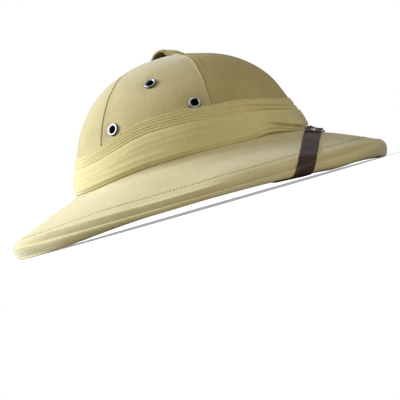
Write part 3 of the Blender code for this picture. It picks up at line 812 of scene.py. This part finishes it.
def bandProud(depth, total, angle):
    fromFront = fromFrontOf(angle)
    share = lookUp(band["foldShare"], fromFront)
    proud = np.full_like(depth, band["topProud"])
    edges = [0.0]
    for number, (front, side, rear, step) in enumerate(band["folds"]):
        edge = lookUp(((0, front), (90, side), (180, rear)), fromFront)
        edge += band["wander"] * bandNoise(angle, 2.2, 0, 0, 5.3 * number)
        strength = share * step * (0.85 + 0.5 * bandNoise(angle, 1.7, 4.0, 0, 3.1 * number))
        proud += strength * smoothStep((depth - edge) / band["foldLip"] + 0.5)
        proud -= band["creaseDeep"] * share * bell(depth - edge + band["creaseAbove"], band["creaseWide"])
        edges.append(edge)
    edges = np.array(edges)
    above = edges[np.clip(np.searchsorted(edges, depth) - 1, 0, len(edges) - 1)]
    proud -= band["droop"] * share * np.clip((depth - above) / 4.0, 0, 1.3) * (depth < edges[-1])
    rise = total - depth
    inWrap = ease(depth, edges[-1], edges[-1] + 3.0) * ease(rise, 0.0, 4.0)
    proud += band["belly"] * inWrap * (0.6 + bandNoise(angle, 1.3, 0, 7.0, 0))
    for ripple in range(3):
        level = total * (0.52 + 0.13 * ripple) + 3.0 * bandNoise(angle, 1.6, 9.0, 0, 2.7 * ripple)
        fade = 0.5 + bandNoise(angle, 2.0, 0, 3.0, 4.4 * ripple)
        proud += band["rippleHigh"] * fade * bell(depth - level, band["rippleWide"]) * (rise > 3.0)
    for arc, low, high, width, deep in band["gathers"]:
        along = fromFront / arc
        if along < 1.0:
            level = low + (high - low) * along
            proud -= deep * (1 - ease(along, 0.6, 1.0)) * bell(rise - level, width * (0.35 + along))
    tight = bell(fromFront, band["hemFrontWide"])
    least = 0.5 - 0.4 * tight
    proud *= least + (1 - least) * ease(rise, 0.0, band["hem"] + band["hemTight"] * tight)
    proud *= 0.35 + 0.65 * smoothStep((depth + 0.05) / 0.7)
    return np.maximum(proud, band["leastProud"])


def makeBand():
    angles = np.linspace(0, 360, band["columns"] + 1)
    rows, travelled = bandDepths(angles)
    shares = np.linspace(0, 1, band["upperRows"]) ** band["crowding"]
    outer, back = [], []
    for number, angle in enumerate(angles):
        fromFront = fromFrontOf(angle)
        total = travelled[-1, number] - band["hemGap"]
        total -= band["hemLift"] * bell(fromFront - band["hemLiftAt"], band["hemLiftWide"])
        total -= band["hemFront"] * bell(fromFront, band["hemFrontWide"])
        for side, depth in ((outer, shares * total), (back, np.linspace(total, 0, band["backRows"]))):
            place = np.interp(depth, travelled[:, number], rows[:, number])
            proud = bandProud(depth, total, angle % 360.0) if side is outer else band["backProud"]
            side.append(offHat(place, angle, proud))
    points = np.concatenate([np.array(outer), np.array(back), np.array(outer)[:, :1]], axis=1)
    points = points.transpose(1, 0, 2)
    points[:, -1] = points[:, 0]
    bm = layGrid(points, closedAcross=True, closedDown=True, clothSize=(0.64, 0.095))
    return facingOut(bm)


wrap = addPiece("pugree_band", makeBand(), bandCloth, ["pugree"], angle=60.0)
print("band made")


# Loop on the crest, in mm

loop = {
    "cut": (0.022, 0.045), "cutArea": 0.0009,  # in metres
    # along X, height of its top and of its underside over the crown
    "arch": ((-4.6, 0.9, 0.3), (-3.5, 2.2, 0.4), (-2.0, 3.8, 1.6), (0.0, 5.3, 3.3), (3.0, 6.6, 4.8),
             (6.0, 7.0, 5.1), (8.6, 6.8, 3.9), (10.5, 6.3, 0.6), (16.0, 5.0, 0.3), (20.0, 3.6, 0.3),
             (22.5, 2.0, 0.3), (24.5, 0.9, 0.3)),
    "tackWide": 0.15,  # its middle is tacked down to the crown, as a share of half the width
    "width": 22.0, "hemHigh": 0.35, "hemWide": 1.6, "steps": 60, "across": 25, "clear": 0.3,
}


def crownHeight(x, y):
    return form.ray_cast(Vector((x, y + 0.01, 300.0)), Vector((0, 0, -1)))[0].z


def makeLoop():
    arch = np.array(loop["arch"])
    along = np.linspace(arch[0, 0], arch[-1, 0], loop["steps"])
    top, under = (np.interp(along, arch[:, 0], arch[:, column]) for column in (1, 2))
    for _ in range(2):
        top[1:-1] = (top[:-2] + 2 * top[1:-1] + top[2:]) / 4
    across = np.linspace(-1, 1, loop["across"])
    inset = (1 - np.abs(across)) * loop["width"] / 2
    hem = loop["hemHigh"] * (smoothStep(inset / 0.8) - smoothStep((inset - loop["hemWide"]) / 0.6) * 0.8)
    rows = []
    for x, high, low in zip(along, top, under):
        ridge, upper, lower = crownHeight(x, 0.0), [], []
        for share, extra in zip(across, hem):
            y = share * loop["width"] / 2
            resting = crownHeight(x, y)
            crown = resting + (ridge - resting) * min(1.0, (low - loop["clear"]) / 1.5)
            sag = 0.5 + 0.5 * math.sqrt(max(0.0, 1 - share ** 4))
            upper.append((x, y, crown + low + (high - low) * sag + extra))
            free = 1 - bell(share, loop["tackWide"])
            resting += loop["clear"]
            lower.append((x, y, resting + (crown + low - resting) * free))
        rows.append(upper + lower[::-1] + upper[:1])
    bm = layGrid(np.array(rows), closedDown=True, clothSize=(0.05, 0.045))
    bmesh.ops.holes_fill(bm, edges=[edge for edge in bm.edges if edge.is_boundary], sides=0)
    return facingOut(bm)


crestLoop = addPiece("crest_loop", makeLoop(), crownCloth, ["top_loop"], angle=50.0)
print("crest loop made")


# Vent eyelets

def arcPoints(centre, wide, high, degrees):
    return [(centre[0] + wide * math.cos(math.radians(turn)), centre[1] + high * math.sin(math.radians(turn)))
            for turn in degrees]


def makeEyelet(name):
    bore, barrel, flange, deep = (vents[part] for part in ("bore", "barrel", "flange", "depth"))
    rollWide, rollHigh = vents["rollWide"], vents["rollHigh"]
    lipHigh = rollHigh + 0.3
    top = bore + rollWide
    profile = [(bore, -deep), (bore, vents["proud"] - rollHigh)]
    profile += arcPoints((top, vents["proud"] - rollHigh), rollWide, rollHigh, range(180, 89, -15))
    profile += arcPoints((top, vents["proud"] - lipHigh), flange - top, lipHigh, range(76, 5, -14))
    profile += [(flange, -0.3), (flange - 0.3, -0.5), (barrel, -0.5), (barrel, -deep)]
    bm = spinProfile(profile, vents["sides"], True)
    rim = bm.loops.layers.uv.new("rim")
    for face in bm.faces:
        for corner in face.loops:
            out = (math.hypot(*corner.vert.co.xy) / mm - bore) / (flange - bore)
            corner[rim].uv = (out if out > 0.02 else 1.0, 0.5)  # the barrel counts as the edge, and takes the painted shade too
    centre, normal = ventFrames[name]
    bm = moved(bm, axesAt(centre + normal * 0.2, (1, 0, 0), normal))
    addPiece("eyelet_" + name, bm, shadedEyeletNickel, ["vent_eyelet_" + name])


for name in ventFrames:
    makeEyelet(name)
print("eyelets made")


# Brim stitching, in mm

stitches = {
    "pitch": 3.4, "length": 2.5, "wide": 0.66, "thick": 0.55, "sunk": 0.05,
    "colour": (0.50, 0.42, 0.20), "dark": (0.43, 0.35, 0.16), "roughness": 0.8, "toneScale": 500.0,
}


def makeStitches():
    angles = np.linspace(0, 360, 3601)
    line = hatPoints(lookUp(brim["stitchRow"], fromFrontOf(angles)), angles)
    travelled = travelledAlong(line)
    count = int(travelled[-1] / stitches["pitch"])
    single, whole = bmesh.new(), bmesh.new()
    bmesh.ops.create_uvsphere(single, u_segments=8, v_segments=4, radius=0.5 * mm)
    mesh = meshFrom(single, "stitch")
    size = Matrix.Diagonal((stitches["length"], stitches["wide"], stitches["thick"], 1.0))
    for start in travelled[-1] * np.arange(count) / count:
        ends = [Vector([np.interp(start + more, travelled, line[:, axis]) for axis in range(3)])
                for more in (0.0, stitches["length"])]
        spot, up = brimTree.find_nearest((ends[0] + ends[1]) / 2)[:2]
        place = axesAt(spot + up * (stitches["thick"] / 2 - stitches["sunk"]), ends[1] - ends[0], up)
        already = len(whole.verts)
        whole.from_mesh(mesh)
        whole.verts.ensure_lookup_table()
        bmesh.ops.transform(whole, matrix=place @ size, verts=whole.verts[already:])
    bpy.data.meshes.remove(mesh)
    return whole


thread, tree, shader = newMaterial("khaki_thread", stitches["colour"], stitches["roughness"])
tone = rampOf(tree, noiseOf(tree, placeOf(tree), stitches["toneScale"]),
              ((0.3, stitches["dark"]), (0.7, stitches["colour"])))
finish(tree, shader, stitches, tone)
addPiece("brim_stitches", makeStitches(), thread)
print("stitches made")


# Chin strap, in mm. A reach is the distance along it from the middle of the front.

strap = {
    "width": 15.0, "leather": 0.9, "gap": 0.2, "edge": 0.25,
    "x": 121.2, "skew": {"left": 3.0, "right": 5.5},  # degrees turned, anticlockwise from above
    "reach": 222.0, "step": 0.25, "stride": 1.5, "across": 9,
    "slack": 0.21, "slackLean": (0.95, 0.55),  # it stands off where the brim turns over
    "tip": 5.0, "tipNarrow": 0.55, "foldBack": 27.0, "foldCloses": (9.5, 15.5),
    "buckleReach": 9.5, "buckleHalf": 8.95, "buckleCorner": 1.8, "wire": 1.6, "play": 0.1,
}
rivets = {
    "strap": {"reach": 19.5, "seat": 2.6, "radius": 3.5, "foot": 0.3},
    "anchor": {"reach": 214.0, "seat": 1.2, "radius": 4.0, "foot": -6.0},
}
rivetDome, rivetShank, rivetEdge = 1.7, 1.5, 0.25


def walkOn(start, distance, heading=None):
    hover = strap["gap"] + strap["leather"] / 2
    foot, up, heading = start[0], start[1], heading or start[2]
    trail = [(foot, up, heading)]
    for _ in range(round(distance / strap["step"])):
        here = foot + up * hover
        guess = here + heading * strap["step"]
        foot = brimTree.find_nearest(guess)[0]
        up = (guess - foot).normalized()
        heading = foot + up * hover - here
        heading = (heading - up * heading.dot(up)).normalized()
        trail.append((foot, up, heading))
    return trail


def strapTrail(name, side):
    hit, up = brimTree.ray_cast(Vector((strap["x"], 0, 300)), Vector((0, 0, -1)))[:2]
    up = up if up.z > 0 else -up
    skew = math.radians(strap["skew"][name])
    heading = Vector((-math.sin(skew), math.cos(skew), 0)) * side
    return walkOn((hit, up, (heading - up * heading.dot(up)).normalized()), strap["reach"])


def strapRow(trail, reach, width):
    step = trail[min(round(reach / strap["step"]), len(trail) - 1)]
    row = []
    for share in np.linspace(-1, 1, strap["across"]):
        across = step[1].cross(step[2]) * (1 if share > 0 else -1)
        row.append(walkOn(step, abs(share) * width / 2, across)[-1])
    return row


def strapPath():
    lower = strap["gap"] + strap["leather"] / 2
    bend = strap["wire"] / 2 + strap["play"] + strap["leather"] / 2
    bar = lower + bend
    upper = lower + strap["leather"] + 0.15
    path = []
    for reach in np.arange(strap["foldBack"], strap["buckleReach"], -strap["stride"]):
        flat = ease(reach, *strap["foldCloses"])
        path.append((reach, bar + bend + (upper - bar - bend) * flat))
    path += arcPoints((strap["buckleReach"], bar), -bend, bend, range(90, -91, -15))
    for reach in np.arange(strap["buckleReach"] + 1.0, strap["reach"] + 0.01, strap["stride"]):
        path.append((reach, lower))
    return path


def makeStrap(trail):
    points, narrow = [], strap["tipNarrow"]
    for reach, height in strapPath():
        fromEnd = np.clip((strap["reach"] - reach) / strap["tip"], 0, 1)
        width = strap["width"] * (narrow + (1 - narrow) * math.sin(math.pi / 2 * fromEnd))
        row = []
        for foot, up, _ in strapRow(trail, reach, width):
            slack = strap["slack"] * ease(up.z, *strap["slackLean"])
            row.append(foot + up * (height + float(slack)))
        points.append(row)
    bm = layGrid(np.array(points), clothSize=(0.015, 0.25))
    return facingOut(bm)


def makeRivet(name, node, place, seat, radius, foot):
    profile = arcPoints((0.0, seat), radius, rivetDome, range(90, -1, -15))
    profile += [(radius, seat - rivetEdge), (rivetShank, seat - rivetEdge), (rivetShank, foot), (0.0, foot)]
    addPiece(name, moved(spinProfile(profile, 24, False), place), nickel, [node])


trails = {}
for name, side in (("left", 1), ("right", -1)):
    trails[name] = strapTrail(name, side)
    piece = addPiece("leather_strap_" + name, makeStrap(trails[name]), leather,
                     ["chin_strap_" + name])
    thicken(piece, strap["leather"], 0.0)
    roundEdges(piece, strap["edge"])
    for kind, rivet in rivets.items():
        spot, up, heading = trails[name][round(rivet["reach"] / strap["step"])]
        makeRivet(kind + "_stud_" + name, kind + "_rivet_" + name, axesAt(spot, heading * side, up),
                  rivet["seat"], rivet["radius"], rivet["foot"])


def makeBuckle():
    bars = [trails[name][round(strap["buckleReach"] / strap["step"])] for name in ("left", "right")]
    up = (bars[0][1] + bars[1][1]).normalized()
    rise = strap["gap"] + strap["leather"] + strap["play"] + strap["wire"] / 2
    centre = (bars[0][0] + bars[1][0]) / 2 + up * rise
    place = axesAt(centre, (bars[1][0] - bars[0][0]).cross(-up), up)
    corner = strap["buckleCorner"]
    halfX, halfY = strap["buckleHalf"] - corner, strap["buckleReach"] - corner
    outline = []
    for quarter, (x, y) in enumerate(((halfX, halfY), (-halfX, halfY), (-halfX, -halfY), (halfX, -halfY))):
        outline += arcPoints((x, y), corner, corner, range(quarter * 90, quarter * 90 + 91, 15))
    curve = bpy.data.curves.new("buckle", "CURVE")
    curve.dimensions = "3D"
    curve.bevel_depth, curve.bevel_resolution = strap["wire"] / 2 * mm, 4
    line = curve.splines.new("POLY")
    line.points.add(len(outline) - 1)
    for point, (x, y) in zip(line.points, outline):
        point.co = (x * mm, y * mm, 0.0, 1.0)
    line.use_cyclic_u = True
    wire = placed("buckle", curve)
    mesh = finishedMesh(wire)
    bm = bmesh.new()
    bm.from_mesh(mesh)
    bpy.data.objects.remove(wire)
    bpy.data.meshes.remove(mesh)
    weld(bm)
    addPiece("wire_buckle", moved(facingOut(bm), place), nickel, ["strap_buckle"], angle=80.0)


makeBuckle()
print("chin strap made")


# Floor, light and camera

studio = {
    # brightness of the floor as a light bounce and as the camera sees it, and the share of it that
    # stays white in shadow
    "floor": (0.34, 0.31, 0.24), "floorSeen": (1.5, 1.5, 1.5), "floorLift": 0.4,
    "floorSize": 8.0, "floorFades": (0.45, 1.0),  # distance over which it turns pure white
    "ambient": 0.37, "ambientColour": (0.90, 0.97, 1.0),
    "lamps": {
        # degrees from +X, degrees up, metres away, metres across, watts, colour
        "key": (186.0, 31.0, 0.75, 0.5, 10.5, (0.82, 0.885, 1.0)),
        "fill": (314.0, 26.0, 1.6, 0.8, 8.0, (1.0, 0.91, 0.78)),
    },
    "lampAim": (0.0, 0.0, 0.05),
}
shot = {
    "azimuth": 11.0, "elevation": 0.25, "roll": 16.0,  # degrees, the first from the right side
    "distance": 1.4, "wide": 0.372, "aim": (0.00158, 0.0080), "sensor": 36.0,
}


def mixShaders(tree, factor, one, other, output):
    mixer = tree.nodes.new("ShaderNodeMixShader")
    for socket, value in zip(mixer.inputs, (factor, one, other)):
        tree.links.new(value, socket)
    tree.links.new(mixer.outputs[0], tree.nodes[output].inputs["Surface"])


def cameraRay(tree):
    return tree.nodes.new("ShaderNodeLightPath").outputs["Is Camera Ray"]


def directionOf(turned, high):
    turn, rise = math.radians(turned), math.radians(high)
    return Vector((math.cos(turn) * math.cos(rise), math.sin(turn) * math.cos(rise), math.sin(rise)))


def aimAt(item, target, direction, away, roll=0.0):
    item.location = target + direction * away
    item.rotation_mode = "QUATERNION"
    rolled = Matrix.Rotation(math.radians(roll), 3, -direction).to_quaternion()
    item.rotation_quaternion = rolled @ (-direction).to_track_quat("-Z", "Y")


bm = bmesh.new()
bmesh.ops.create_grid(bm, x_segments=1, y_segments=1, size=studio["floorSize"])
floor = placed("floor", meshFrom(bm, "floor"))
floorPaint, tree, shader = newMaterial("floor_paint", studio["floor"], 1.0)
floor.data.materials.append(floorPaint)
seen = cameraRay(tree)
bounce, bright = ((*studio[name], 1.0) for name in ("floor", "floorSeen"))
near = addNode(tree, "ShaderNodeBsdfDiffuse", Color=mixOf(tree, "MIX", seen, bounce, bright))
far = addNode(tree, "ShaderNodeEmission", Color=(1, 1, 1, 1), Strength=1.0)
distance = tree.nodes.new("ShaderNodeVectorMath")
distance.operation = "LENGTH"
tree.links.new(placeOf(tree), distance.inputs[0])
fade = rangeOf(tree, distance.outputs["Value"], studio["floorFades"], (studio["floorLift"], 1.0))
mixShaders(tree, mathOf(tree, "MULTIPLY", fade, seen), near.outputs[0], far.outputs[0], "Material Output")
tree.nodes.remove(shader)

world = bpy.data.worlds.new("studio")
world.use_nodes = True
bpy.context.scene.world = world
tree = world.node_tree
backdrop = tree.nodes["Background"]
backdrop.inputs["Color"].default_value = (1, 1, 1, 1)
backdrop.inputs["Strength"].default_value = 1.0
dim = addNode(tree, "ShaderNodeBackground", Color=(*studio["ambientColour"], 1.0), Strength=studio["ambient"])
mixShaders(tree, cameraRay(tree), dim.outputs[0], backdrop.outputs[0], "World Output")

for name, (turned, high, away, size, power, tint) in studio["lamps"].items():
    lamp = bpy.data.lights.new(name, "AREA")
    lamp.shape, lamp.size, lamp.energy, lamp.color = "DISK", size, power, tint
    aimAt(placed(name, lamp), Vector(studio["lampAim"]), directionOf(turned, high), away)

towards = directionOf(shot["azimuth"] - 90.0, shot["elevation"])
rightward = (-towards).cross(Vector((0, 0, 1))).normalized()
target = rightward * shot["aim"][0] + rightward.cross(-towards) * shot["aim"][1]
lens = bpy.data.cameras.new("camera")
lens.sensor_width = shot["sensor"]
lens.lens = shot["sensor"] * shot["distance"] / shot["wide"]
camera = placed("camera", lens)
aimAt(camera, target, towards, shot["distance"], shot["roll"])
bpy.context.scene.camera = camera
bpy.context.scene.view_settings.view_transform = "Standard"
print("studio made")
